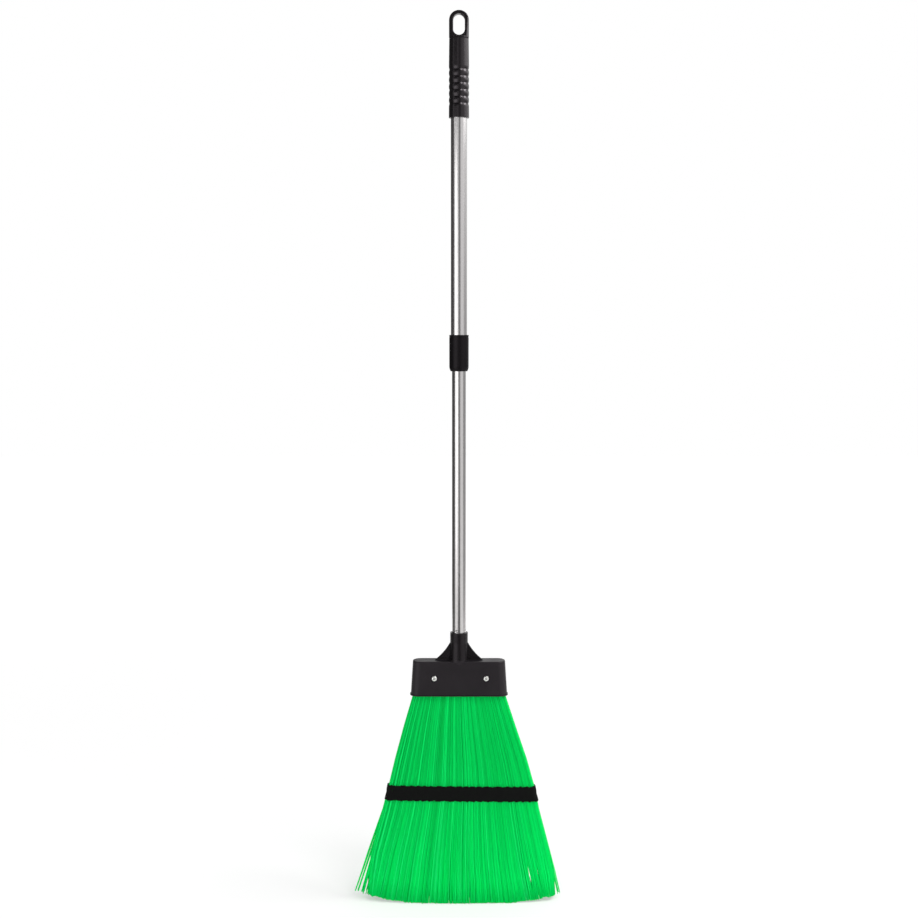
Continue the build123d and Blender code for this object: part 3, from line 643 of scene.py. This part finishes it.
webbing, webbing_tree, webbing_shader = finish("webbing", Specular_IOR_Level=0.1)
webbing_map = add_node(webbing_tree, "ShaderNodeUVMap", uv_map=strap.data.uv_layers[0].name)
webbing_ribs = add_node(webbing_tree, "ShaderNodeTexWave", bands_direction="X")
webbing_ribs.inputs["Scale"].default_value = 95
webbing_ribs.inputs["Distortion"].default_value = 0.6
webbing_lines = add_node(webbing_tree, "ShaderNodeTexWave", bands_direction="Y")
webbing_lines.inputs["Scale"].default_value = 4.6
webbing_lines.inputs["Distortion"].default_value = 0.4
webbing_cross = add_node(webbing_tree, "ShaderNodeMath", operation="MULTIPLY")
webbing_tone = add_node(webbing_tree, "ShaderNodeMix", data_type="RGBA")
webbing_tone.inputs["A"].default_value = (0.0015, 0.0017, 0.0016, 1)
webbing_tone.inputs["B"].default_value = (0.007, 0.0075, 0.0072, 1)
webbing_rough = add_node(webbing_tree, "ShaderNodeMapRange")
webbing_rough.inputs["To Min"].default_value = 0.85
webbing_rough.inputs["To Max"].default_value = 0.65
webbing_bump = add_node(webbing_tree, "ShaderNodeBump")
webbing_bump.inputs["Strength"].default_value = 0.5
webbing_bump.inputs["Distance"].default_value = 0.0005
webbing_tree.links.new(webbing_map.outputs["UV"], webbing_ribs.inputs["Vector"])
webbing_tree.links.new(webbing_map.outputs["UV"], webbing_lines.inputs["Vector"])
webbing_tree.links.new(webbing_ribs.outputs["Fac"], webbing_cross.inputs[0])
webbing_tree.links.new(webbing_lines.outputs["Fac"], webbing_cross.inputs[1])
webbing_tree.links.new(webbing_cross.outputs[0], webbing_tone.inputs["Factor"])
webbing_tree.links.new(webbing_tone.outputs["Result"], webbing_shader.inputs["Base Color"])
webbing_tree.links.new(webbing_cross.outputs[0], webbing_rough.inputs["Value"])
webbing_tree.links.new(webbing_rough.outputs["Result"], webbing_shader.inputs["Roughness"])
webbing_tree.links.new(webbing_cross.outputs[0], webbing_bump.inputs["Height"])
webbing_tree.links.new(webbing_bump.outputs["Normal"], webbing_shader.inputs["Normal"])
strap.data.materials.append(webbing)
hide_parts("bristle_band")
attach(strap, "lower_section")


# Lower tube: welded thin-wall stainless tube, polished along its length and punched in to hold its plugs.
# The threaded tip in its foot is black plastic and disappears into the neck.
pole_steel, pole_tree, pole_shader = finish(
    "pole_steel", Base_Color=(0.53, 0.515, 0.515, 1), Metallic=1.0
)
pole_place = add_node(pole_tree, "ShaderNodeTexCoord")
pole_stretch = add_node(pole_tree, "ShaderNodeMapping")
pole_stretch.inputs["Scale"].default_value = (1, 1, 0.012)
pole_lines = add_node(pole_tree, "ShaderNodeTexNoise")
pole_lines.inputs["Scale"].default_value = 1500
pole_lines.inputs["Detail"].default_value = 3
pole_rough = add_node(pole_tree, "ShaderNodeMapRange")
pole_rough.inputs["From Min"].default_value = 0.3
pole_rough.inputs["From Max"].default_value = 0.7
pole_rough.inputs["To Min"].default_value = 0.15
pole_rough.inputs["To Max"].default_value = 0.24
pole_bump = add_node(pole_tree, "ShaderNodeBump")
pole_bump.inputs["Strength"].default_value = 0.06
pole_bump.inputs["Distance"].default_value = 0.0001
pole_tree.links.new(pole_place.outputs["Object"], pole_stretch.inputs["Vector"])
pole_tree.links.new(pole_stretch.outputs["Vector"], pole_lines.inputs["Vector"])
pole_tree.links.new(pole_lines.outputs["Fac"], pole_rough.inputs["Value"])
pole_tree.links.new(pole_rough.outputs["Result"], pole_shader.inputs["Roughness"])
pole_tree.links.new(pole_lines.outputs["Fac"], pole_bump.inputs["Height"])
pole_tree.links.new(pole_bump.outputs["Normal"], pole_shader.inputs["Normal"])
dress("lower_tube", pole_steel)
dress("threaded_tip", cap_plastic)


# Twist lock: a plug with a tapered stud in the head of the lower tube, a split sleeve on it and a guide bush.
# All are natural nylon and hidden in the upper tube. A plated screw and washer keep the sleeve on its stud.
lock_nylon = moulded_plastic(
    "lock_nylon",
    dark=(0.66, 0.64, 0.58),
    light=(0.72, 0.71, 0.66),
    grain_size=900,
    bright=0.4,
    dull=0.5,
    depth=0.08,
    shine=0.5,
)
for lock_node in ("lock_plug", "lock_expander", "guide_bush"):
    dress(lock_node, lock_nylon)
for lock_node in ("lock_stop_washer", "lock_stop_screw"):
    dress(lock_node, screw_zinc)


# Collar: a sleeve of black plastic pressed on the foot of the upper tube, with a tapered nose.
# It is turned by hand to lock the pole, so its skin is duller than the cap's.
collar_plastic = moulded_plastic(
    "collar_plastic",
    dark=(0.003, 0.0025, 0.003),
    light=(0.0048, 0.004, 0.0048),
    grain_size=1500,
    bright=0.3,
    dull=0.4,
    depth=0.16,
    shine=0.12,
)
dress("pole_collar", collar_plastic)


# Upper tube: the same steel as the lower one, a size larger.
# It slides over the lower tube and carries the collar and the grip.
dress("upper_tube", pole_steel)


# Grip: black plastic with ring grooves for the fingers, pressed on the head of the upper tube.
# Its skin is a little glossier than the collar's, and dull along the joint line under the loop.
grip_joint_z, grip_joint_half_height = 1.18995, 0.0007
grip_plastic = moulded_plastic(
    "grip_plastic",
    dark=(0.0036, 0.003, 0.0035),
    light=(0.0052, 0.0044, 0.005),
    grain_size=1600,
    bright=0.2,
    dull=0.26,
    depth=0.08,
    shine=0.38,
)
grip_tree = grip_plastic.node_tree
grip_split = add_node(grip_tree, "ShaderNodeSeparateXYZ")
grip_joint = add_node(grip_tree, "ShaderNodeMath", operation="COMPARE")
grip_joint.inputs[1].default_value = grip_joint_z
grip_joint.inputs[2].default_value = grip_joint_half_height
grip_rough = add_node(grip_tree, "ShaderNodeMix")
grip_rough.inputs["B"].default_value = 1
grip_shader = grip_tree.nodes["Principled BSDF"]
grip_tree.links.new(grip_tree.nodes["Texture Coordinate"].outputs["Object"], grip_split.inputs[0])
grip_tree.links.new(grip_split.outputs["Z"], grip_joint.inputs[0])
grip_tree.links.new(grip_joint.outputs[0], grip_rough.inputs["Factor"])
grip_tree.links.new(grip_tree.nodes["Group"].outputs["Roughness"], grip_rough.inputs["A"])
grip_tree.links.new(grip_rough.outputs["Result"], grip_shader.inputs["Roughness"])
dress("grip", grip_plastic)


# Hang loop: a slotted tab of the grip's plastic, which snaps into the grip's roof and turns there.
# It carries the broom on a wall hook.
dress("hang_loop", grip_plastic)
